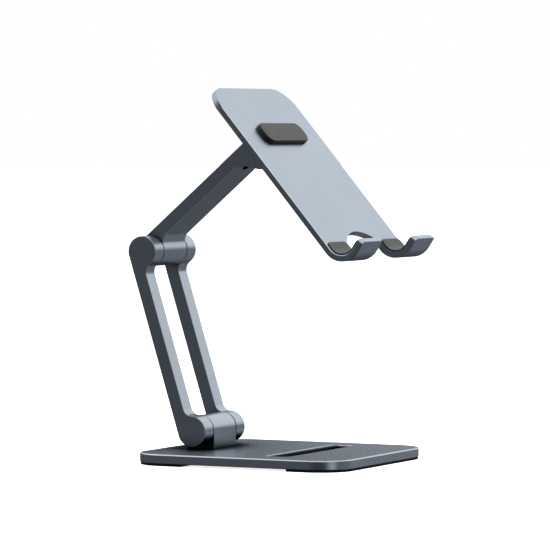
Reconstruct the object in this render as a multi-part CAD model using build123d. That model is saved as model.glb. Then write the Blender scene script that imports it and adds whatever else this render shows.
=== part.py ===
from build123d import *
import math
import os

# Folding phone stand. Millimetres, +Z up, +X to the user's right, +Y away from the user.
# The origin is on the desk, under the centre of the whole stand's bounding box.
# Every long profile lies in the Y-Z plane and is extruded along X.

# ---------------------------------------------------------------- driving dimensions
# base
base_w = 92.8            # width along X
base_front = -53.75      # Y of the front edge
base_back = 45.41        # Y of the back edge
base_t = 4.0             # plate thickness
base_r = 15.0            # corner radius in plan
base_top_edge = 0.45     # chamfer along the upper rim and round the slot
foot_t = 1.0             # thickness of the silicone feet
foot_inset = 0.3         # feet stand back from the plate's edge
front_foot_l = 24.4
rear_foot_l = 25.3
slot_w = 66.0            # long slot, along X
slot_l = 10.6            # its size along Y
slot_y = -18.4           # Y of its centre
slot_r = 3.2
liner_wall = 1.1
liner_drop = 0.5         # liner's top below the base's top face

# base hinge and lower arm
hinge_y = 29.2           # Y of the base hinge axis
hinge_h = 7.82           # its height over the base's top face
head_r = 6.63            # radius of hinge heads, hinge block and barrel
block_half = 10.25       # half width of the hinge block and of the upper arm
bar_in = 10.9            # inner face of each lower bar
bar_out = 18.82          # outer face of each lower bar
bar_depth = 5.74         # thickness of a bar seen from the side
arm_len = 80.82          # from the base hinge axis to the elbow axis
arm_lean = 17.38         # lean of the lower arm, towards the back, from the vertical
head_fillet = 4.2        # concave fillet between a bar and its head

# upper arm
upper_rise = 40.47       # angle of the upper arm over the horizontal, towards the user
upper_t = 5.67           # thickness
upper_end = 73.95        # from the elbow axis to the arm's end face
q_xi = 68.1              # head hinge axis, along the arm
q_eta = 8.1              # head hinge axis, below the arm's outer face
head_end_r = 5.85        # rounded lower end of the arm's forked head
fork_half = 3.3          # half width of the slot in the forked head
fork_start = 53.2
fork_roof = 1.9

# hinge hardware
shaft_r = 3.0
sleeve_in = 3.05
sleeve_out = 4.2
washer_r = 6.2
pin_r = 1.5
pin_sleeve_in = 1.55
pin_sleeve_out = 2.6
tongue_half = 3.0

# cradle
plate_w = 72.0
plate_t = 2.7
plate_len = 85.43        # from the top edge of the hook pads to the plate's top edge
plate_corner = 12.0
plate_gap = 0.2          # between the arm's end face and the plate
hook_gap_half = 17.0     # half of the cable gap between the hooks
notch_r = 24.0           # arched top of the cable gap
notch_top = 5.3          # crown of the arch over the pads' top edge
bend_in = 6.4            # inner radius of the hook
bend_t = 3.5             # start of the bend below the pads' top edge
bend_deg = 106.0
lip_len = 5.2            # straight run of the lip after the bend, to its flat end
lip_edge = 0.45          # rounding of the lip's end, across its thickness
lip_corner = 1.6         # radius of the lip's corners, seen square on
pad_lip = 3.8            # how far up the lip the hook pads reach
hook_pad_t = 0.7
dev_pad_w = 38.5
dev_pad_h = 10.1
dev_pad_t = 2.0
dev_pad_r = 4.2
dev_pad_up = 59.35       # centre of the device pad above the hook pads' top edge

edge = 0.3               # chamfer along the cut edges of the base and the cradle
block_edge = 0.2         # chamfer of the hinge block
arm_edge = 0.12          # broken edge of the bars and the upper arm

# ---------------------------------------------------------------- derived frames
base_z0 = foot_t
base_z1 = foot_t + base_t
hinge_z = base_z1 + hinge_h
lean = math.radians(arm_lean)
rise = math.radians(upper_rise)

H = (hinge_y, hinge_z)
arm_s = (math.sin(lean), math.cos(lean))            # up the lower arm
arm_w = (-math.cos(lean), math.sin(lean))           # towards the user, across it
E = (H[0] + arm_len * arm_s[0], H[1] + arm_len * arm_s[1])
up_x = (-math.cos(rise), math.sin(rise))            # along the upper arm
up_m = (-math.sin(rise), -math.cos(rise))           # towards its concave side
plate_up = (math.sin(rise), math.cos(rise))         # up the cradle plate
plate_n = up_x                                      # out of the plate's front face


def lower(s, w):
    """Point of the lower arm's side view, from the base hinge axis."""
    return (H[0] + s * arm_s[0] + w * arm_w[0], H[1] + s * arm_s[1] + w * arm_w[1])


def upper(xi, eta):
    """Point of the upper arm's side view; eta is measured from its outer face."""
    m = eta - head_r
    return (E[0] + xi * up_x[0] + m * up_m[0], E[1] + xi * up_x[1] + m * up_m[1])


Q = upper(q_xi, q_eta)
plate_back = upper_end + plate_gap                  # along the arm, from the elbow axis
_o = upper(plate_back + plate_t, head_r)            # front face, level with the elbow axis
P = (_o[0] - (dev_pad_up - 0.68) * plate_up[0], _o[1] - (dev_pad_up - 0.68) * plate_up[1])


def plate(t, n):
    """Point of the cradle's side view; t up the plate from the hook pads' top edge, n out of its front face."""
    return (P[0] + t * plate_up[0] + n * plate_n[0], P[1] + t * plate_up[1] + n * plate_n[1])


# ---------------------------------------------------------------- drawing helpers
def round_corner(p0, p1, p2, r):
    """Start, middle and end of the arc of radius r that rounds the corner p1."""
    a = (p0[0] - p1[0], p0[1] - p1[1])
    b = (p2[0] - p1[0], p2[1] - p1[1])
    la, lb = math.hypot(*a), math.hypot(*b)
    a = (a[0] / la, a[1] / la)
    b = (b[0] / lb, b[1] / lb)
    ang = math.acos(max(-1.0, min(1.0, a[0] * b[0] + a[1] * b[1])))
    d = r / math.tan(ang / 2)
    bis = (a[0] + b[0], a[1] + b[1])
    lbis = math.hypot(*bis)
    bis = (bis[0] / lbis, bis[1] / lbis)
    c = (p1[0] + bis[0] * r / math.sin(ang / 2), p1[1] + bis[1] * r / math.sin(ang / 2))
    return ((p1[0] + a[0] * d, p1[1] + a[1] * d),
            (c[0] - bis[0] * r, c[1] - bis[1] * r),
            (p1[0] + b[0] * d, p1[1] + b[1] * d))


def outline(steps, to_yz):
    """Closed face from steps: a point, a (point, radius) corner, or ("arc", middle, end)."""
    flat = [s if (isinstance(s[0], str) or isinstance(s[0], tuple)) else (s, 0.0) for s in steps]

    def spot(s):
        return s[2] if isinstance(s[0], str) else s[0]

    path = []
    n = len(flat)
    for i, s in enumerate(flat):
        if isinstance(s[0], str):
            path.append(("arc", s[1], s[2]))
        elif s[1] > 0:
            t1, mid, t2 = round_corner(spot(flat[i - 1]), s[0], spot(flat[(i + 1) % n]), s[1])
            path.append(("line", None, t1))
            path.append(("arc", mid, t2))
        else:
            path.append(("line", None, s[0]))
    pos = path[-1][2]
    edges = []
    for kind, mid, end in path:
        if math.dist(pos, end) > 1e-7:
            if kind == "line":
                edges.append(Line(to_yz(*pos), to_yz(*end)))
            else:
                edges.append(ThreePointArc(to_yz(*pos), to_yz(*mid), to_yz(*end)))
        pos = end
    return make_face(edges)


def along_x(face, x0, x1):
    """Extrude a Y-Z profile from x0 to x1."""
    return extrude(Plane.YZ.offset(x0) * face, amount=x1 - x0)


def rod(centre, r, x0, x1, r_in=0.0):
    """Round bar or tube along X."""
    end = Plane(origin=(x0, centre[0], centre[1]), x_dir=(0, 1, 0), z_dir=(1, 0, 0))
    body = extrude(end * Circle(r), amount=x1 - x0)
    if r_in > 0:
        body -= extrude(end.offset(-1) * Circle(r_in), amount=x1 - x0 + 2)
    return body


def bulge(r, w, rf):
    """Fillet of radius rf between a straight edge at height w and a circle of radius r."""
    sc = math.sqrt((r + rf) ** 2 - (w + rf) ** 2)
    on_line = (sc, w)
    k = r / (r + rf)
    on_circle = (k * sc, k * (w + rf))
    dx, dy = -sc / (r + rf), -(w + rf) / (r + rf)
    bx, by = dx, dy - 1
    lb = math.hypot(bx, by)
    mid = (sc + rf * bx / lb, w + rf + rf * by / lb)
    return on_line, mid, on_circle


def side_edges(part):
    """Edges round the flat faces that look along X."""
    out = []
    for f in part.faces().filter_by(Axis.X):
        out += f.edges()
    return out


def ident(a, b):
    return (a, b)


nodes = {}

# ---------------------------------------------------------------- base
base_cy = (base_front + base_back) / 2
base_l = base_back - base_front
plan = Pos(0, base_cy) * RectangleRounded(base_w, base_l, base_r)
base = Pos(0, 0, base_z0) * extrude(plan, amount=base_t)
slot_plan = Pos(0, slot_y) * RectangleRounded(slot_w, slot_l, slot_r)
base -= Pos(0, 0, base_z0 - 1) * extrude(slot_plan, amount=base_t + 2)
top_edges = base.faces().sort_by(Axis.Z)[-1].edges()
base = chamfer(top_edges, base_top_edge)
bottom_edges = base.faces().sort_by(Axis.Z)[0].outer_wire().edges()
base = chamfer(bottom_edges, edge)
# countersunk clearance holes for the hinge block's screws
screw_at = [(-7.0, hinge_y - 4.5), (7.0, hinge_y - 4.5), (-7.0, hinge_y + 4.5), (7.0, hinge_y + 4.5)]
for x, y in screw_at:
    base -= Pos(x, y, base_z0 + base_t / 2) * Cylinder(1.3, base_t + 2)
    base -= Pos(x, y, base_z0 + 0.65) * Cone(2.45, 1.15, 1.31)
nodes["base_plate"] = base

liner = Pos(0, 0, base_z0) * extrude(slot_plan, amount=base_t - liner_drop)
liner_in = Pos(0, slot_y) * RectangleRounded(slot_w - 2 * liner_wall, slot_l - 2 * liner_wall, slot_r - liner_wall)
liner -= Pos(0, 0, base_z0 - 1) * extrude(liner_in, amount=base_t + 2)
nodes["slot_liner"] = liner

foot_plan = Pos(0, base_cy) * RectangleRounded(base_w - 2 * foot_inset, base_l - 2 * foot_inset, base_r - foot_inset)
front_zone = Pos(0, base_front + front_foot_l / 2) * Rectangle(base_w + 10, front_foot_l)
rear_zone = Pos(0, base_back - rear_foot_l / 2) * Rectangle(base_w + 10, rear_foot_l)
nodes["front_foot_pad"] = extrude(foot_plan & front_zone, amount=foot_t)
nodes["rear_foot_pad"] = extrude(foot_plan & rear_zone, amount=foot_t)

# hinge block: upright block with a round top, seated on the base
block_face = outline([(H[0] - head_r, base_z1), (H[0] - head_r, hinge_z),
                      ("arc", (H[0], hinge_z + head_r), (H[0] + head_r, hinge_z)),
                      (H[0] + head_r, base_z1)], ident)
block = along_x(block_face, -block_half, block_half)
block = chamfer([e for e in side_edges(block) if e.center().Z > base_z1 + 0.01], block_edge)
block -= rod(H, sleeve_out, -block_half - 1, block_half + 1)
for x, y in screw_at:
    block -= Pos(x, y, base_z1 + 2.2) * Cylinder(1.25, 4.6)
nodes["hinge_block"] = block

screws = []
for x, y in screw_at:
    s = Pos(x, y, base_z0 + 0.05) * extrude(Circle(1.25), amount=8.1 - 0.05 - base_z0 + 0.9)
    s += Pos(x, y, base_z0 + 0.05 + 0.6) * Cone(2.35, 1.2, 1.2)
    s -= Pos(x, y, base_z0 + 0.05) * extrude(RegularPolygon(0.9, 6), amount=0.9)
    screws.append(s)
nodes["hinge_block_screws"] = screws


def friction_sleeve(c, r_in, r_out, half, gap, down):
    """Split spring sleeve: a tube with a narrow slit along its length."""
    tube = rod(c, r_out, -half, half, r_in)
    slit = Pos(0, c[0], c[1]) * Rot(down, 0, 0) * Pos(0, 0, -(r_in + r_out) / 2) * Box(2 * half + 2, gap, (r_out - r_in) * 1.6)
    return tube - slit


nodes["base_hinge_sleeve"] = friction_sleeve(H, sleeve_in, sleeve_out, block_half, 0.8, 0)

# ---------------------------------------------------------------- lower arm: two bars
w_back = -head_r
w_front = w_back + bar_depth
on_line, mid_f, on_circle = bulge(head_r, w_front, head_fillet)
L = arm_len
ang_c = math.atan2(on_circle[1], on_circle[0])                  # angle of the tangent point on a head
top_mid = (math.pi - ang_c - math.pi / 2) / 2                   # middle of the upper head's arc
bot_mid = (ang_c + 1.5 * math.pi) / 2                           # middle of the lower head's arc
bar_face = outline([
    (0.0, w_back),
    (L, w_back),
    ("arc", (L + head_r * math.cos(top_mid), head_r * math.sin(top_mid)), (L - on_circle[0], on_circle[1])),
    ("arc", (L - mid_f[0], mid_f[1]), (L - on_line[0], on_line[1])),
    on_line,
    ("arc", mid_f, on_circle),
    ("arc", (head_r * math.cos(bot_mid), head_r * math.sin(bot_mid)), (0.0, w_back)),
], lower)

shaft_end = 16.6          # blind depth of the shaft bores, measured from the middle
for name, sgn in (("lower_arm_left", -1), ("lower_arm_right", 1)):
    a, b = sorted((sgn * bar_in, sgn * bar_out))
    bar = along_x(bar_face, a, b)
    bar = chamfer(side_edges(bar), arm_edge)
    for c in (H, E):
        x0, x1 = sorted((0.0, sgn * shaft_end))
        bar -= rod(c, shaft_r, x0, x1)
    # set-screw holes through the flush back of both heads
    for s in (0.0, L):
        hole = Pos(sgn * 14.2, *lower(s, -4.6)) * Rot(90 - arm_lean, 0, 0) * Cylinder(1.5, 5.2)
        bar -= hole
    nodes[name] = bar


def hinge_shaft(c, s):
    """Shaft with a flat for the set screw at each end."""
    body = rod(c, shaft_r, -shaft_end, shaft_end)
    body = chamfer(body.edges().filter_by(GeomType.CIRCLE), 0.4)
    for sgn in (-1, 1):
        flat = Pos(sgn * (shaft_end - 2.4 + 0.5), *lower(s, -shaft_r)) * Rot(-arm_lean, 0, 0) * Box(5.8, 1.0, 2 * shaft_r + 2)
        body -= flat
    return body


def set_screws(s):
    out = []
    for sgn in (-1, 1):
        depth = head_r - 0.25 - (shaft_r - 0.5)
        mid_w = -(shaft_r - 0.5) - depth / 2
        body = Pos(sgn * 14.2, *lower(s, mid_w)) * Rot(90 - arm_lean, 0, 0) * Cylinder(1.5, depth)
        sock = Pos(sgn * 14.2, *lower(s, -head_r + 0.25)) * Rot(90 - arm_lean, 0, 0) * extrude(RegularPolygon(0.8, 6), amount=1.4, both=True)
        out.append(body - sock)
    return out


def washers(c, r_out, r_in, x0, x1):
    return [rod(c, r_out, x0, x1, r_in), rod(c, r_out, -x1, -x0, r_in)]


nodes["base_hinge_shaft"] = hinge_shaft(H, 0.0)
nodes["base_hinge_washers"] = washers(H, washer_r, shaft_r, block_half + 0.03, bar_in)
nodes["base_hinge_set_screws"] = set_screws(0.0)
nodes["elbow_shaft"] = hinge_shaft(E, L)
nodes["elbow_washers"] = washers(E, washer_r, shaft_r, block_half + 0.03, bar_in)
nodes["elbow_set_screws"] = set_screws(L)

# ---------------------------------------------------------------- upper arm
w_under = upper_t - head_r
u_line, u_mid, u_circle = bulge(head_r, w_under, head_fillet)
ang_u = math.atan2(u_circle[1], u_circle[0])
mid_u = (ang_u + 1.5 * math.pi) / 2
qd = head_end_r
c45 = math.cos(math.radians(45))
upper_face = outline([
    (0.0, 0.0),
    (upper_end, 0.0),
    (upper_end, q_eta),
    ("arc", (q_xi + qd * c45, q_eta + qd * c45), (q_xi, q_eta + qd)),
    ((63.2, q_eta + qd), 1.6),
    ((56.6, upper_t), 4.0),
    (u_line[0], upper_t),
    ("arc", (u_mid[0], u_mid[1] + head_r), (u_circle[0], u_circle[1] + head_r)),
    ("arc", (head_r * math.cos(mid_u), head_r + head_r * math.sin(mid_u)), (0.0, 0.0)),
], upper)
arm = along_x(upper_face, -block_half, block_half)
arm = chamfer(side_edges(arm), arm_edge)
arm -= rod(E, sleeve_out, -block_half - 1, block_half + 1)
# central slot of the forked head, open below and at the end
slot_side = outline([(fork_start + fork_half, fork_roof), (upper_end + 3, fork_roof),
                     (upper_end + 3, q_eta + qd + 3), (fork_start + fork_half, q_eta + qd + 3)], upper)
arm -= along_x(slot_side, -fork_half, fork_half)
slot_end_c = upper(fork_start + fork_half, fork_roof)
slot_end = Plane(origin=(0, *slot_end_c), x_dir=(1, 0, 0), z_dir=(0, up_m[0], up_m[1])) * Circle(fork_half)
arm -= extrude(slot_end, amount=20)
# bore for the head hinge pin: blind on the left, through on the right
arm -= rod(Q, pin_r, -8.6, block_half + 1)
# set-screw holes from the underside of both cheeks
down_frame = Plane(origin=(0, *Q), x_dir=(1, 0, 0), z_dir=(0, up_m[0], up_m[1]))
for sgn in (-1, 1):
    arm -= extrude(down_frame * Pos(sgn * 6.2, 0) * Circle(1.0), amount=8)
nodes["upper_arm"] = arm
nodes["elbow_sleeve"] = friction_sleeve(E, sleeve_in, sleeve_out, block_half, 0.8, 0)

pin = rod(Q, pin_r, -8.6, block_half - 0.1)
for sgn in (-1, 1):
    pin -= extrude(down_frame.offset(pin_r - 0.3) * Pos(sgn * 6.2, 0) * Circle(1.0), amount=3)
nodes["head_hinge_pin"] = pin
nodes["head_hinge_washers"] = washers(Q, 4.6, pin_r, tongue_half + 0.03, fork_half)
pin_screws = []
for sgn in (-1, 1):
    b = extrude(down_frame.offset(pin_r - 0.3) * Pos(sgn * 6.2, 0) * Circle(1.0), amount=head_end_r - 0.2 - (pin_r - 0.3))
    b -= extrude(down_frame.offset(head_end_r - 1.2) * Pos(sgn * 6.2, 0) * RegularPolygon(0.55, 6), amount=2)
    pin_screws.append(b)
nodes["head_pin_set_screws"] = pin_screws

# ---------------------------------------------------------------- cradle
# side view: straight plate, hook bend and lip with a flat end and rounded edges
def hook_points(r):
    """Arc of the hook at radius r about the bend's centre, in (t, n)."""
    cn = bend_in
    th = math.radians(bend_deg)
    start = (-bend_t, cn - r)
    mid = (-(bend_t + r * math.sin(th / 2)), cn - r * math.cos(th / 2))
    end = (-(bend_t + r * math.sin(th)), cn - r * math.cos(th))
    return start, mid, end


th = math.radians(bend_deg)
lip = (-math.cos(th), math.sin(th))                 # direction of the lip, in (t, n)
r_in, r_out = bend_in, bend_in + plate_t
in_s, in_m, in_e = hook_points(r_in)
out_s, out_m, out_e = hook_points(r_out)
mid_e = hook_points(bend_in + plate_t / 2)[2]
tip_in = (in_e[0] + lip_len * lip[0], in_e[1] + lip_len * lip[1])
tip_out = (out_e[0] + lip_len * lip[0], out_e[1] + lip_len * lip[1])
tip_mid = (mid_e[0] + lip_len * lip[0], mid_e[1] + lip_len * lip[1])
cradle_face = outline([
    (plate_len, -plate_t),
    (plate_len, 0.0),
    in_s,
    ("arc", in_m, in_e),
    (tip_in, lip_edge),
    (tip_out, lip_edge),
    out_e,
    ("arc", out_m, out_s),
], plate)
cradle = along_x(cradle_face, -plate_w / 2, plate_w / 2)
cradle = chamfer(side_edges(cradle), edge)

# plane of the plate's front face, with its local Y up the plate
front = Plane(origin=(0, *P), x_dir=(1, 0, 0), z_dir=(0, plate_n[0], plate_n[1]))
if front.y_dir.Z < 0:
    front = Plane(origin=(0, *P), x_dir=(-1, 0, 0), z_dir=(0, plate_n[0], plate_n[1]))

# rounded corners at the top, cut across the plate
keep = Pos(0, plate_len - 60) * RectangleRounded(plate_w, 120, plate_corner)
cradle &= extrude(front * keep, amount=30, both=True)
# cable gap between the hooks, arched at the top
arch_c = notch_top - notch_r
arch = Pos(0, arch_c) * Circle(notch_r)
gap = (Pos(0, arch_c) * Rectangle(2 * hook_gap_half, 4 * notch_r)) & arch
gap += Pos(0, arch_c - 20) * Rectangle(2 * hook_gap_half, 40)
cradle -= extrude(front * gap, amount=40, both=True)
# rounded corners of the two lips
lip_o = plate(*tip_mid)
lip_dir = (lip[0] * plate_up[0] + lip[1] * plate_n[0], lip[0] * plate_up[1] + lip[1] * plate_n[1])
for x_end, inward in ((-plate_w / 2, 1), (-hook_gap_half, -1), (hook_gap_half, 1), (plate_w / 2, -1)):
    at_lip = Plane(origin=(x_end, *lip_o), x_dir=(1, 0, 0), z_dir=(0, -lip_dir[1], lip_dir[0]))
    if at_lip.y_dir.Y * lip_dir[0] + at_lip.y_dir.Z * lip_dir[1] < 0:
        at_lip = Plane(origin=(x_end, *lip_o), x_dir=(1, 0, 0), z_dir=(0, lip_dir[1], -lip_dir[0]))
    cx = inward * lip_corner
    waste = Pos(cx / 2 - inward * 0.5, -lip_corner / 2 + 0.5) * Rectangle(lip_corner + 1, lip_corner + 1)
    waste -= Pos(cx, -lip_corner) * Circle(lip_corner)
    cradle -= extrude(at_lip * waste, amount=3, both=True)
# countersunk holes for the bracket's screws, under the device pad
bracket_screw_up = [61.2, 56.4]
for t in bracket_screw_up:
    cradle -= extrude(front.offset(-plate_t - 1) * Pos(0, t) * Circle(1.05), amount=plate_t + 2)
    cradle -= front.offset(-0.6) * Pos(0, t) * Cone(1.0, 2.0, 1.22)
nodes["cradle_plate"] = cradle

# bracket: tongue on the back of the plate, reaching into the forked head
tongue_r = 5.7           # round end of the tongue, about the head hinge pin
tongue_face = outline([
    (plate_back, q_eta - tongue_r),
    (plate_back, q_eta + tongue_r),
    (q_xi, q_eta + tongue_r),
    ("arc", (q_xi - tongue_r, q_eta), (q_xi, q_eta - tongue_r)),
], upper)
tongue = along_x(tongue_face, -tongue_half, tongue_half)
tongue -= rod(Q, pin_sleeve_out, -tongue_half - 1, tongue_half + 1)
screw_depth = {61.2: 4.2, 56.4: 3.0}
b_screws = []
for t in bracket_screw_up:
    tongue -= extrude(front.offset(-plate_t - screw_depth[t] - 0.15) * Pos(0, t) * Circle(1.0), amount=screw_depth[t] + 1)
    sc = extrude(front.offset(-plate_t - screw_depth[t]) * Pos(0, t) * Circle(1.0), amount=plate_t + screw_depth[t] - 0.05)
    sc += front.offset(-0.62) * Pos(0, t) * Cone(1.0, 1.95, 1.14)
    sc -= extrude(front.offset(-0.9) * Pos(0, t) * RegularPolygon(0.75, 6), amount=2)
    b_screws.append(sc)
nodes["head_bracket"] = tongue
nodes["bracket_screws"] = b_screws
nodes["head_hinge_sleeve"] = friction_sleeve(Q, pin_sleeve_in, pin_sleeve_out, tongue_half, 0.5, 0)

# silicone pad for the back of the phone
dev = extrude(front * (Pos(0, dev_pad_up) * RectangleRounded(dev_pad_w, dev_pad_h, dev_pad_r)), amount=dev_pad_t)
top_face = [f for f in dev.faces() if abs(f.normal_at().dot(front.z_dir) - 1) < 1e-6][0]
dev = chamfer(top_face.edges(), 0.35)
nodes["device_pad"] = dev

# silicone pads that line the hooks
p_s, p_m, p_e = hook_points(bend_in - hook_pad_t)
pad_tip_out = (in_e[0] + pad_lip * lip[0], in_e[1] + pad_lip * lip[1])
hook_pad_face = outline([
    (0.0, 0.0),
    (0.0, hook_pad_t),
    p_s,
    ("arc", p_m, p_e),
    (p_e[0] + pad_lip * lip[0], p_e[1] + pad_lip * lip[1]),
    pad_tip_out,
    in_e,
    ("arc", in_m, in_s),
], plate)
for name, sgn in (("left_hook_pad", -1), ("right_hook_pad", 1)):
    a, b = sorted((sgn * (hook_gap_half + 0.45), sgn * (plate_w / 2 - 0.45)))
    pad = along_x(hook_pad_face, a, b)
    zone = Pos((a + b) / 2, -20) * RectangleRounded(b - a, 40, 2.6)
    pad &= extrude(front * zone, amount=30, both=True)
    nodes[name] = pad

# ---------------------------------------------------------------- write
os.makedirs("parts", exist_ok=True)
for name, shape in nodes.items():
    if isinstance(shape, list):
        shape = Compound(children=shape)
    export_step(shape, "parts/" + name + ".step")
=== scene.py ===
import math

import bpy
from mathutils import Matrix, Vector


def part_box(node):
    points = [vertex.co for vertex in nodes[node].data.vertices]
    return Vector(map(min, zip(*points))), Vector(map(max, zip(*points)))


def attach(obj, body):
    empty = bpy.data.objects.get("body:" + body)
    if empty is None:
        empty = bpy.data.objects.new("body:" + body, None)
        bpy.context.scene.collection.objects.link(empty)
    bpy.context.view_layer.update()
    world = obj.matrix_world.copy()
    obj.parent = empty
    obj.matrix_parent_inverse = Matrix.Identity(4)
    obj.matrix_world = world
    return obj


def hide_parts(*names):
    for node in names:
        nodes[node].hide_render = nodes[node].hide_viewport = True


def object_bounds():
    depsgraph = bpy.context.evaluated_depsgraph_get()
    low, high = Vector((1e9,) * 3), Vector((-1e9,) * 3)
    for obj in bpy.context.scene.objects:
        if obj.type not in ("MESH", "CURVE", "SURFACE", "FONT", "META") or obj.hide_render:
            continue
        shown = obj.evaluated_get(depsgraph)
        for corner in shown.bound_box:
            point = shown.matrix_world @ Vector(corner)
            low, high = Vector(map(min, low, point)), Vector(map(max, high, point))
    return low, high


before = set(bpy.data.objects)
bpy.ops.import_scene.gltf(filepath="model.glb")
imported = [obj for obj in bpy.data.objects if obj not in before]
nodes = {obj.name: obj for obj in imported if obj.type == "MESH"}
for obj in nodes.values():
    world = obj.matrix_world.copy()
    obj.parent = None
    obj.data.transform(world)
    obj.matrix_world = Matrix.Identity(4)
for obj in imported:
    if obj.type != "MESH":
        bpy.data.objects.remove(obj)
cad_low, cad_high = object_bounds()
MM = 0.001

# ------------------------------------------------------------------ node helpers
def shade(name):
    """A new material with a Principled shader, and a short way to add nodes to it."""
    mat = bpy.data.materials.new(name)
    mat.use_nodes = True
    tree = mat.node_tree
    tree.nodes.clear()
    out = tree.nodes.new("ShaderNodeOutputMaterial")
    bsdf = tree.nodes.new("ShaderNodeBsdfPrincipled")
    tree.links.new(bsdf.outputs["BSDF"], out.inputs["Surface"])
    return mat, tree, bsdf


def put(tree, kind, **values):
    n = tree.nodes.new(kind)
    for k, v in values.items():
        setattr(n, k, v)
    return n


def feed(tree, socket, value):
    if isinstance(value, bpy.types.NodeSocket):
        tree.links.new(value, socket)
    else:
        socket.default_value = value


def calc(tree, op, a, b=0.0, c=None, clamp=False):
    n = put(tree, "ShaderNodeMath", operation=op, use_clamp=clamp)
    feed(tree, n.inputs[0], a)
    feed(tree, n.inputs[1], b)
    if c is not None:
        feed(tree, n.inputs[2], c)
    return n.outputs[0]


def span(tree, value, lo, hi, to_lo, to_hi, smooth=False):
    n = put(tree, "ShaderNodeMapRange", interpolation_type="SMOOTHSTEP" if smooth else "LINEAR")
    feed(tree, n.inputs["Value"], value)
    feed(tree, n.inputs["From Min"], lo)
    feed(tree, n.inputs["From Max"], hi)
    feed(tree, n.inputs["To Min"], to_lo)
    feed(tree, n.inputs["To Max"], to_hi)
    return n.outputs["Result"]


def noise(tree, vector, scale, detail=2.0, rough=0.5):
    n = put(tree, "ShaderNodeTexNoise")
    feed(tree, n.inputs["Vector"], vector)
    n.inputs["Scale"].default_value = scale
    n.inputs["Detail"].default_value = detail
    n.inputs["Roughness"].default_value = rough
    return n.outputs["Fac"]


def tint(tree, factor, a, b):
    n = put(tree, "ShaderNodeMix", data_type="RGBA")
    feed(tree, n.inputs[0], factor)
    feed(tree, n.inputs[6], a)
    feed(tree, n.inputs[7], b)
    return n.outputs[2]


def rgba(c, k=1.0):
    return (c[0] * k, c[1] * k, c[2] * k, 1.0)


def edge_mask(tree, radius, samples=6):
    """1 along sharp edges, 0 on open faces."""
    bev = put(tree, "ShaderNodeBevel", samples=samples)
    bev.inputs["Radius"].default_value = radius
    geo = put(tree, "ShaderNodeNewGeometry")
    dot = put(tree, "ShaderNodeVectorMath", operation="DOT_PRODUCT")
    tree.links.new(bev.outputs["Normal"], dot.inputs[0])
    tree.links.new(geo.outputs["Normal"], dot.inputs[1])
    return span(tree, dot.outputs["Value"], 0.995, 0.93, 0.0, 1.0)


def bump(tree, height, distance, strength, normal=None):
    n = put(tree, "ShaderNodeBump")
    n.inputs["Strength"].default_value = strength
    n.inputs["Distance"].default_value = distance
    feed(tree, n.inputs["Height"], height)
    if normal is not None:
        feed(tree, n.inputs["Normal"], normal)
    return n.outputs["Normal"]


# ------------------------------------------------------------------ materials
def anodised(name, base, rough, grain=0.10, speckle=0.25, edge_gain=0.25, hollow=0.010, shut=0.12, clear=0.80):
    """Fine bead-blasted, anodised aluminium, paler along edges. Painted shade: an ambient-occlusion term darkens the
    colour and the specular tint in hollows, between parts and under things.
    """
    mat, tree, bsdf = shade(name)
    coord = put(tree, "ShaderNodeTexCoord").outputs["Object"]
    fine = noise(tree, coord, 4600.0, 2.0, 0.65)
    mid = noise(tree, coord, 900.0, 3.0, 0.6)
    broad = noise(tree, coord, 42.0, 2.0, 0.5)
    edge = edge_mask(tree, 0.00022)
    # painted shade: ambient occlusion gives 0 where other surfaces are close and 1 in the open
    ao = put(tree, "ShaderNodeAmbientOcclusion", samples=8)
    ao.inputs["Distance"].default_value = hollow
    unshaded = span(tree, ao.outputs["AO"], shut, clear, 0.0, 1.0, True)
    speck = span(tree, fine, 0.32, 0.68, 0.0, 1.0)
    c0 = tint(tree, span(tree, broad, 0.3, 0.7, 0.0, 1.0), rgba(base, 0.965), rgba(base, 1.03))
    c1 = tint(tree, calc(tree, "MULTIPLY", speck, speckle), c0, rgba(base, 1.22))
    c2 = tint(tree, calc(tree, "MULTIPLY", edge, edge_gain), c1, (0.70, 0.74, 0.78, 1.0))
    # painted shade in the colour and in the specular tint: down to a tenth of the base colour where occluded
    c3 = tint(tree, unshaded, rgba(base, 0.10), c2)
    tree.links.new(c3, bsdf.inputs["Base Color"])
    tree.links.new(tint(tree, unshaded, (0.10, 0.10, 0.11, 1.0), (0.86, 0.88, 0.92, 1.0)), bsdf.inputs["Specular Tint"])
    bsdf.inputs["Metallic"].default_value = 1.0
    r0 = span(tree, mid, 0.25, 0.75, rough - 0.025, rough + 0.030)
    r1 = calc(tree, "ADD", r0, span(tree, fine, 0.25, 0.75, -0.02, 0.03))
    tree.links.new(calc(tree, "SUBTRACT", r1, calc(tree, "MULTIPLY", edge, 0.05)), bsdf.inputs["Roughness"])
    h = calc(tree, "ADD", calc(tree, "MULTIPLY", fine, 0.65), calc(tree, "MULTIPLY", mid, 0.35))
    tree.links.new(bump(tree, h, 0.00005, grain), bsdf.inputs["Normal"])
    return mat


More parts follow.
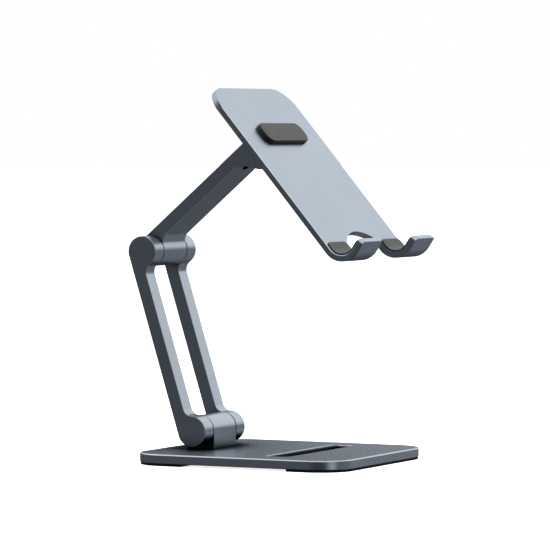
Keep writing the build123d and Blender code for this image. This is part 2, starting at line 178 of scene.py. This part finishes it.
def silicone(name, base, rough, grain=0.25, dust=0.10, shine=0.5):
    """Matte moulded silicone rubber with a fine spark-eroded surface."""
    mat, tree, bsdf = shade(name)
    coord = put(tree, "ShaderNodeTexCoord").outputs["Object"]
    fine = noise(tree, coord, 4200.0, 3.0, 0.7)
    mid = noise(tree, coord, 620.0, 4.0, 0.6)
    broad = noise(tree, coord, 70.0, 2.0, 0.5)
    edge = edge_mask(tree, 0.0003)
    c0 = tint(tree, span(tree, broad, 0.3, 0.7, 0.0, 1.0), rgba(base, 0.90), rgba(base, 1.10))
    c1 = tint(tree, span(tree, fine, 0.35, 0.75, 0.0, 0.5), c0, rgba(base, 1.28))
    # a little dust that the rubber holds, in the low places of the grain
    c2 = tint(tree, calc(tree, "MULTIPLY", span(tree, mid, 0.52, 0.72, 0.0, 1.0), dust), c1, (0.30, 0.29, 0.28, 1.0))
    c3 = tint(tree, calc(tree, "MULTIPLY", edge, 0.10), c2, rgba(base, 1.8))
    tree.links.new(c3, bsdf.inputs["Base Color"])
    tree.links.new(span(tree, mid, 0.25, 0.75, rough - 0.05, rough + 0.07), bsdf.inputs["Roughness"])
    bsdf.inputs["Specular IOR Level"].default_value = shine
    bsdf.inputs["IOR"].default_value = 1.43
    h = calc(tree, "ADD", calc(tree, "MULTIPLY", fine, 0.6), calc(tree, "MULTIPLY", mid, 0.4))
    tree.links.new(bump(tree, h, 0.00008, grain), bsdf.inputs["Normal"])
    return mat


def steel(name, base, rough, axis=(1.0, 1.0, 1.0), grain=0.12, metallic=1.0):
    """Turned or drawn steel: marks run round or along the part, set by axis."""
    mat, tree, bsdf = shade(name)
    coord = put(tree, "ShaderNodeTexCoord").outputs["Object"]
    mp = put(tree, "ShaderNodeMapping")
    tree.links.new(coord, mp.inputs["Vector"])
    mp.inputs["Scale"].default_value = axis
    lines = noise(tree, mp.outputs["Vector"], 2600.0, 3.0, 0.6)
    spots = noise(tree, coord, 480.0, 3.0, 0.6)
    edge = edge_mask(tree, 0.00018)
    c0 = tint(tree, span(tree, spots, 0.3, 0.7, 0.0, 1.0), rgba(base, 0.86), rgba(base, 1.10))
    c1 = tint(tree, calc(tree, "MULTIPLY", edge, 0.35), c0, (0.62, 0.62, 0.63, 1.0))
    tree.links.new(c1, bsdf.inputs["Base Color"])
    bsdf.inputs["Metallic"].default_value = metallic
    tree.links.new(calc(tree, "ADD", span(tree, lines, 0.25, 0.75, rough - 0.06, rough + 0.08),
                        span(tree, spots, 0.4, 0.8, 0.0, 0.06)), bsdf.inputs["Roughness"])
    tree.links.new(bump(tree, lines, 0.00004, grain), bsdf.inputs["Normal"])
    return mat


GREY = (0.400, 0.447, 0.505)
MATS = {
    "anodised_base": anodised("anodised_base", (0.488, 0.540, 0.596), 0.28, 0.020, 0.06, 0.25, 0.042, 0.60, 0.985),
    "anodised_arms": anodised("anodised_arms", (0.400, 0.445, 0.498), 0.29, 0.10, 0.26, 0.12, 0.013, 0.36, 0.86),
    "anodised_cradle": anodised("anodised_cradle", GREY, 0.29, 0.045, 0.16, 0.25, 0.016, 0.25, 0.85),
    "grey_silicone": silicone("grey_silicone", (0.016, 0.0148, 0.0147), 0.40, 0.16, 0.045, 0.46),
    "black_silicone": silicone("black_silicone", (0.0035, 0.0035, 0.004), 0.55, 0.22, 0.010, 0.10),
    "steel_screws": steel("steel_screws", (0.18, 0.18, 0.19), 0.34),
    "steel_shafts": steel("steel_shafts", (0.60, 0.60, 0.61), 0.24, (6.0, 1.0, 1.0)),
    "spring_steel": steel("spring_steel", (0.42, 0.41, 0.40), 0.30, (0.6, 3.0, 3.0)),
    "polymer_washers": silicone("polymer_washers", (0.008, 0.008, 0.009), 0.42, 0.12, 0.02),
}

def paint(obj, slot):
    if not obj.data.materials:
        obj.data.materials.append(MATS[slot])
    for s in obj.material_slots:
        s.material = MATS[slot]


# the slot that a CAD node takes is the name of the material it came in with
for name, obj in nodes.items():
    given = [s.material.name.split(".")[0] for s in obj.material_slots if s.material]
    found = [g for g in given if g in MATS]
    paint(obj, found[0] if found else "steel_screws")


# ------------------------------------------------------------------ edges of the metal parts
def soften(obj, width, segments=2, angle=28.0):
    """Welds the split vertices, merges flat facets and rounds every sharp edge a little."""
    w = obj.modifiers.new("weld", "WELD")
    w.merge_threshold = 0.0000005
    d = obj.modifiers.new("flat", "DECIMATE")
    d.decimate_type = "DISSOLVE"
    d.angle_limit = math.radians(0.4)
    b = obj.modifiers.new("edge", "BEVEL")
    b.width = width
    b.segments = segments
    b.limit_method = "ANGLE"
    b.angle_limit = math.radians(angle)
    b.miter_outer = "MITER_ARC"
    b.use_clamp_overlap = True
    b.harden_normals = False
    n = obj.modifiers.new("shade", "WEIGHTED_NORMAL")
    n.mode = "FACE_AREA_WITH_ANGLE"
    n.weight = 60
    n.keep_sharp = False


soften(nodes["base_plate"], 0.05 * MM)
soften(nodes["cradle_plate"], 0.10 * MM)
soften(nodes["hinge_block"], 0.05 * MM)
for name in ("lower_arm_left", "lower_arm_right", "upper_arm", "head_bracket"):
    soften(nodes[name], 0.03 * MM)


# ------------------------------------------------------------------ moulded silicone pieces
def mesh_piece(name, verts, faces, slot, body, *stands_for):
    me = bpy.data.meshes.new(name)
    me.from_pydata([tuple(v) for v in verts], [], faces)
    me.validate()
    me.update()
    for p in me.polygons:
        p.use_smooth = True
    ob = bpy.data.objects.new(name, me)
    bpy.context.scene.collection.objects.link(ob)
    paint(ob, slot)
    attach(ob, body)
    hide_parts(*stands_for)
    n = ob.modifiers.new("shade", "WEIGHTED_NORMAL")
    n.mode = "FACE_AREA_WITH_ANGLE"
    n.keep_sharp = False
    return ob


def steps(length, fine, coarse):
    """Offsets from 0 to length: close together at both ends, about coarse apart between."""
    head = [f for f in fine if f < length / 2]
    inner0, inner1 = head[-1], length - head[-1]
    k = max(1, int(round((inner1 - inner0) / coarse)))
    mid = [inner0 + (inner1 - inner0) * i / k for i in range(1, k)]
    return head + mid + [length - f for f in reversed(head)]


def rounded_distance(s, x, length, half, r_top, r_end):
    """Distance in from the border of a rounded rectangle, s from 0 to length and x from -half to half."""
    r = r_top if s < length / 2 else r_end
    ds = s if s < length / 2 else length - s
    dx = half - abs(x)
    if ds < r and dx < r:
        return r - math.hypot(r - ds, r - dx)
    return min(ds, dx)


def half_at(s, length, half, r_top, r_end):
    r = r_top if s < length / 2 else r_end
    ds = s if s < length / 2 else length - s
    if ds < r:
        return half - r + math.sqrt(max(0.0, r * r - (r - ds) ** 2))
    return half


def moulded(name, place, length, half, r_top, r_end, height, fillet, slot, body, stands_for,
            fine=(0.0, 0.04, 0.11, 0.21, 0.34, 0.52), coarse_s=0.9, coarse_x=1.2, top=None):
    """Closed sheet of rubber on a surface. place(s, x, h) gives the point at (s, x), h off the surface.
    The upper rim is rounded by fillet; top(s, x, d) is added to the height of the upper side."""
    rows = steps(length, [f * MM for f in fine], coarse_s * MM)
    # more rows where the corners turn
    for r, end in ((r_top, 0), (r_end, 1)):
        if r > 1.2 * MM:
            for i in range(1, 12):
                a = math.radians(90 * i / 12)
                d = r * (1 - math.cos(a))
                rows.append(d if end == 0 else length - d)
    rows = sorted(rows)
    keep = [rows[0]]
    for r in rows[1:]:
        if r - keep[-1] > 0.025 * MM:
            keep.append(r)
    keep[-1] = rows[-1]
    rows = keep
    nx = steps(2 * half, [f * MM for f in fine], coarse_x * MM)
    cols = [(x - half) / half for x in nx]
    verts, faces = [], []

    def rim(d):
        if d >= fillet:
            return height
        return height - fillet + math.sqrt(max(0.0, fillet ** 2 - (fillet - d) ** 2))

    def sheet(upper):
        first = len(verts)
        for s in rows:
            w = half_at(s, length, half, r_top, r_end)
            for c in cols:
                x = c * w
                if upper:
                    d = max(0.0, rounded_distance(s, x, length, half, r_top, r_end))
                    h = rim(d) + (top(s, x, d) if top else 0.0)
                else:
                    h = 0.0
                verts.append(place(s, x, h))
        return first

    a = sheet(True)
    b = sheet(False)
    n = len(cols)
    m = len(rows)
    for i in range(m - 1):
        for j in range(n - 1):
            q = (i * n + j, i * n + j + 1, (i + 1) * n + j + 1, (i + 1) * n + j)
            faces.append(tuple(a + k for k in q))
            faces.append(tuple(b + k for k in reversed(q)))
    loop = [j for j in range(n)] + [i * n + n - 1 for i in range(1, m)] \
        + [(m - 1) * n + j for j in range(n - 2, -1, -1)] + [i * n for i in range(m - 2, 0, -1)]
    for k in range(len(loop)):
        p, q = loop[k], loop[(k + 1) % len(loop)]
        faces.append((a + q, a + p, b + p, b + q))
    ob = mesh_piece(name, verts, faces, slot, body, *stands_for)
    fix_normals(ob)
    return ob


def fix_normals(ob):
    import bmesh
    bm = bmesh.new()
    bm.from_mesh(ob.data)
    bmesh.ops.remove_doubles(bm, verts=bm.verts, dist=1e-7)
    bmesh.ops.recalc_face_normals(bm, faces=bm.faces)
    bm.to_mesh(ob.data)
    bm.free()
    for p in ob.data.polygons:
        p.use_smooth = True


# the cradle's own directions, read from the flat face of its device pad
def main_normal(obj):
    total = {}
    for p in obj.data.polygons:
        key = tuple(round(c, 3) for c in p.normal)
        total[key] = total.get(key, 0.0) + p.area
    best = max(total, key=lambda k: total[k] if k[1] < -0.2 and k[2] > 0.2 else 0.0)
    return Vector(best).normalized()


plate_n = main_normal(nodes["device_pad"])                   # out of the plate's front face
plate_up = Vector((0.0, plate_n.z, -plate_n.y))              # up the plate


def along(obj, direction):
    vals = [v.co.dot(direction) for v in obj.data.vertices]
    return min(vals), max(vals)


# device pad: rounded block, slightly crowned, with a soft rim
pad_lo_up, pad_hi_up = along(nodes["device_pad"], plate_up)
pad_lo_n, pad_hi_n = along(nodes["device_pad"], plate_n)
pad_lo, pad_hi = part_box("device_pad")
pad_half = (pad_hi.x - pad_lo.x) / 2
pad_len = pad_hi_up - pad_lo_up
pad_cx = (pad_hi.x + pad_lo.x) / 2


def on_plate(up, x, n):
    return plate_up * up + plate_n * n + Vector((x, 0, 0))


moulded("device_pad_rubber",
        lambda s, x, h: on_plate(pad_lo_up + s, pad_cx + x, pad_lo_n + h),
        pad_len, pad_half, 4.2 * MM, 4.2 * MM, pad_hi_n - pad_lo_n - 0.02 * MM, 0.38 * MM,
        "grey_silicone", "cradle", ["device_pad"],
        top=lambda s, x, d: -0.05 * MM * max(0.0, 1 - d / (3.2 * MM)) ** 2)

# hook pads: rubber strips that follow the plate, the bend and the lip
PAD_T = 0.70 * MM
BEND_R = 6.4 * MM
BEND = math.radians(106.0)
BEND_START = 3.5 * MM
LIP = 3.8 * MM
strip_len = BEND_START + BEND * BEND_R + LIP


def hook_place(origin_up, origin_n, cx):
    """Point at s along the strip from its upper edge, x across it and h off the metal."""
    def place(s, x, h):
        if s <= BEND_START:
            up, n = -s, h
        elif s <= BEND_START + BEND * BEND_R:
            a = (s - BEND_START) / BEND_R
            r = BEND_R - h
            up, n = -BEND_START - r * math.sin(a), BEND_R - r * math.cos(a)
        else:
            l = s - BEND_START - BEND * BEND_R
            r = BEND_R - h
            up = -BEND_START - r * math.sin(BEND) - l * math.cos(BEND)
            n = BEND_R - r * math.cos(BEND) + l * math.sin(BEND)
        return on_plate(origin_up + up, cx + x, origin_n + n)
    return place


for name in ("left_hook_pad", "right_hook_pad"):
    lo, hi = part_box(name)
    top_up = along(nodes[name], plate_up)[1]
    # the plate's front face is where the device pad starts
    moulded(name + "_rubber", hook_place(top_up, pad_lo_n, (lo.x + hi.x) / 2),
            strip_len, (hi.x - lo.x) / 2, 2.6 * MM, 0.9 * MM, PAD_T, 0.14 * MM,
            "grey_silicone", "cradle", [name], coarse_s=0.45, coarse_x=0.9)

# feet: full-width silicone sheets with a ribbed underside
def foot(name, body_name, outer_at_front):
    lo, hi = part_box(name)
    length = hi.y - lo.y
    half = (hi.x - lo.x) / 2
    t = hi.z - lo.z
    r = 14.7 * MM

    def place(s, x, h):
        y = lo.y + s if outer_at_front else hi.y - s
        return Vector(((lo.x + hi.x) / 2 + x, y, hi.z - h))

    def ribs(s, x, d):
        if d < 2.0 * MM:
            return 0.0
        k = min(1.0, (d - 2.0 * MM) / (0.25 * MM))
        wave = 0.5 - 0.5 * math.cos(2 * math.pi * s / (1.7 * MM))
        return -0.22 * MM * k * wave ** 0.6

    return moulded(name + "_rubber", place, length, half, r, 0.8 * MM, t, 0.22 * MM,
                   "black_silicone", "base", [name], coarse_s=0.28, coarse_x=2.2, top=ribs)


foot("front_foot_pad", "base", True)
foot("rear_foot_pad", "base", False)


# slot liner: a moulded grommet round the inside of the slot, with soft lips
def ring_outline(cx, cy, half_x, half_y, r, inset, turn=7):
    pts = []
    hx, hy = half_x - inset, half_y - inset
    rr = max(0.25 * MM, r - inset)
    for sx, sy, a0 in ((1, -1, -90), (1, 1, 0), (-1, 1, 90), (-1, -1, 180)):
        for i in range(turn + 1):
            a = math.radians(a0 + 90 * i / turn)
            pts.append((cx + sx * (hx - rr) + rr * math.cos(a), cy + sy * (hy - rr) + rr * math.sin(a)))
    # even points along the two long sides
    out = []
    for i, p in enumerate(pts):
        q = pts[(i + 1) % len(pts)]
        out.append(p)
        gap = math.hypot(q[0] - p[0], q[1] - p[1])
        if gap > 4 * MM:
            k = 12 if gap > 20 * MM else 3
            out += [(p[0] + (q[0] - p[0]) * j / k, p[1] + (q[1] - p[1]) * j / k) for j in range(1, k)]
    return out


lo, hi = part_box("slot_liner")
wall = 1.1 * MM
f = 0.50 * MM
profile = [(0.0, lo.z), (0.0, hi.z - f)]
for i in range(1, 5):
    a = math.radians(90 * i / 4)
    profile.append((f * (1 - math.cos(a)), hi.z - f + f * math.sin(a)))
profile.append((wall - f, hi.z))
for i in range(1, 5):
    a = math.radians(90 * i / 4)
    profile.append((wall - f + f * math.sin(a), hi.z - f * (1 - math.cos(a))))
profile += [(wall + 0.0, (lo.z + hi.z) / 2 + 0.5 * MM), (wall + 0.0, lo.z + 0.2 * MM), (wall - 0.2 * MM, lo.z)]
verts, faces = [], []
count = 0
for inset, z in profile:
    ring = ring_outline((lo.x + hi.x) / 2, (lo.y + hi.y) / 2, (hi.x - lo.x) / 2, (hi.y - lo.y) / 2, 3.2 * MM, inset)
    count = len(ring)
    verts += [(x, y, z) for x, y in ring]
for i in range(len(profile)):
    k = (i + 1) % len(profile)
    for j in range(count):
        l = (j + 1) % count
        faces.append((i * count + j, i * count + l, k * count + l, k * count + j))
liner = mesh_piece("slot_liner_rubber", verts, faces, "black_silicone", "base", "slot_liner")
fix_normals(liner)

# ------------------------------------------------------------------ floor, studio light and camera
scene = bpy.context.scene
scene.view_settings.view_transform = "Standard"
scene.view_settings.look = "None"
scene.view_settings.exposure = 0.0
scene.view_settings.gamma = 1.0

me = bpy.data.meshes.new("floor")
me.from_pydata([(-12, -12, 0), (12, -12, 0), (12, 12, 0), (-12, 12, 0)], [], [(0, 1, 2, 3)])
floor = bpy.data.objects.new("floor", me)
scene.collection.objects.link(floor)
floor.location = (0, 0, cad_low[2] - 0.00002)
mat, tree, bsdf = shade("pale_floor")
coord = put(tree, "ShaderNodeTexCoord").outputs["Object"]
tree.links.new(tint(tree, noise(tree, coord, 30.0, 3.0), (0.88, 0.88, 0.88, 1), (0.91, 0.91, 0.91, 1)), bsdf.inputs["Base Color"])
bsdf.inputs["Roughness"].default_value = 0.9
bsdf.inputs["Specular IOR Level"].default_value = 0.0
bsdf.inputs["Emission Color"].default_value = (1, 1, 1, 1)
bsdf.inputs["Emission Strength"].default_value = 0.80
floor.data.materials.append(mat)
floor.visible_glossy = False
floor.visible_diffuse = False
floor.visible_shadow = False
floor.visible_transmission = False

world = bpy.data.worlds.new("studio")
scene.world = world
world.use_nodes = True
tree = world.node_tree
tree.nodes.clear()
out = tree.nodes.new("ShaderNodeOutputWorld")
back = tree.nodes.new("ShaderNodeBackground")
tree.links.new(back.outputs[0], out.inputs["Surface"])
direction = put(tree, "ShaderNodeTexCoord").outputs["Generated"]
sep = put(tree, "ShaderNodeSeparateXYZ")
tree.links.new(direction, sep.inputs[0])
X, Y, Z = sep.outputs


def toward(vec):
    n = put(tree, "ShaderNodeVectorMath", operation="DOT_PRODUCT")
    tree.links.new(direction, n.inputs[0])
    n.inputs[1].default_value = tuple(Vector(vec).normalized())
    return n.outputs["Value"]


flat_len = calc(tree, "MAXIMUM", calc(tree, "SQRT", calc(tree, "ADD", calc(tree, "MULTIPLY", X, X), calc(tree, "MULTIPLY", Y, Y))), 0.001)
# how far round towards the front left a direction lies, seen from above
side = calc(tree, "DIVIDE", calc(tree, "ADD", calc(tree, "MULTIPLY", X, -0.449), calc(tree, "MULTIPLY", Y, -0.893)), flat_len)
dim = span(tree, side, 0.15, 0.60, 1.0, 0.40, True)
low = calc(tree, "MULTIPLY", span(tree, Z, -0.6, 0.1, 0.085, 0.106), dim)
fall = span(tree, Z, -0.90, -0.50, 0.35, 1.0, True)
low = calc(tree, "MULTIPLY", calc(tree, "MULTIPLY", low, fall), span(tree, X, -0.85, -0.50, 1.09, 1.0, True))
haze = calc(tree, "MULTIPLY", span(tree, side, -0.50, -0.80, 0.0, 0.036, True), span(tree, Z, -0.02, 0.10, 0.0, 1.0, True))
fill = calc(tree, "MULTIPLY", span(tree, toward((0.75, -0.62, -0.22)), 0.35, 0.80, 0.0, 0.180, True), span(tree, Z, -0.03, 0.06, 1.0, 0.25, True))
fill = calc(tree, "MULTIPLY", fill, span(tree, Y, 0.20, -0.16, 0.0, 1.0, True))
key = calc(tree, "MULTIPLY", span(tree, Z, 0.00, 0.22, 0.0, 1.12, True), span(tree, toward((0.93, -0.15, 0.33)), 0.80, 0.93, 0.0, 1.0, True))
key = calc(tree, "MULTIPLY", key, span(tree, Z, 0.25, 0.50, 1.0, 0.93, True))
over = span(tree, Z, 0.50, 0.90, 0.0, 0.95, True)
strip = calc(tree, "MULTIPLY", span(tree, side, 0.955, 0.990, 0.0, 0.54, True), span(tree, Z, -0.40, -0.15, 0.0, 1.0, True))
rear = calc(tree, "MULTIPLY", span(tree, toward((0.20, 0.90, 0.42)), 0.72, 0.92, 0.0, 0.85, True), span(tree, Z, 0.10, 0.32, 0.0, 1.0, True))
left = calc(tree, "MULTIPLY", span(tree, toward((-0.78, 0.35, 0.52)), 0.78, 0.95, 0.0, 0.10, True), span(tree, Z, 0.14, 0.36, 0.0, 1.0, True))
front = calc(tree, "MULTIPLY", span(tree, toward((-0.62, -0.42, 0.66)), 0.78, 0.96, 0.0, 0.60, True), span(tree, Z, 0.28, 0.46, 0.0, 1.0, True))
total = low
for part in (haze, fill, key, over, strip, rear, left, front):
    total = calc(tree, "ADD", total, part)
cam_ray = put(tree, "ShaderNodeLightPath").outputs["Is Camera Ray"]
level = put(tree, "ShaderNodeMix", data_type="FLOAT")
tree.links.new(cam_ray, level.inputs[0])
tree.links.new(total, level.inputs[2])
level.inputs[3].default_value = 1.0
tree.links.new(level.outputs[0], back.inputs["Strength"])
# the dim part of the studio is a little bluer than its lamps
blue = tint(tree, span(tree, total, 0.10, 0.60, 0.0, 1.0), (0.91, 0.95, 1.04, 1.0), (0.99, 1.0, 1.0, 1.0))
tree.links.new(tint(tree, cam_ray, blue, (1.0, 1.0, 1.0, 1.0)), back.inputs["Color"])


def softbox(name, at, target, size, power):
    data = bpy.data.lights.new(name, "AREA")
    data.shape = "RECTANGLE"
    data.size, data.size_y = size
    data.energy = power
    ob = bpy.data.objects.new(name, data)
    scene.collection.objects.link(ob)
    ob.location = at
    ob.rotation_euler = (Vector(target) - Vector(at)).to_track_quat("-Z", "Y").to_euler()
    ob.visible_glossy = False
    return ob


centre = (Vector(cad_low) + Vector(cad_high)) / 2
softbox("soft_key", (0.45, -0.75, 0.85), centre, (0.7, 0.7), 5.0)
softbox("soft_top", (0.0, 0.05, 1.1), centre, (0.9, 0.9), 5.0)
softbox("soft_left", (-0.9, -0.1, 0.55), centre, (0.6, 0.6), 1.6)

cam_data = bpy.data.cameras.new("camera")
cam_data.sensor_width = 36.0
cam_data.lens = 256.604
cam_data.clip_end = 60.0
cam = bpy.data.objects.new("camera", cam_data)
scene.collection.objects.link(cam)
turn, drop = 1.105732, 0.037434
fwd = Vector((math.sin(turn) * math.cos(drop), math.cos(turn) * math.cos(drop), -math.sin(drop)))
right = Vector((math.cos(turn), -math.sin(turn), 0.0))
up = right.cross(fwd)
rot = Matrix((right, up, -fwd)).transposed()
cam.matrix_world = Matrix.Translation((-1.504812, -0.756634, 0.143119)) @ rot.to_4x4()
scene.camera = cam
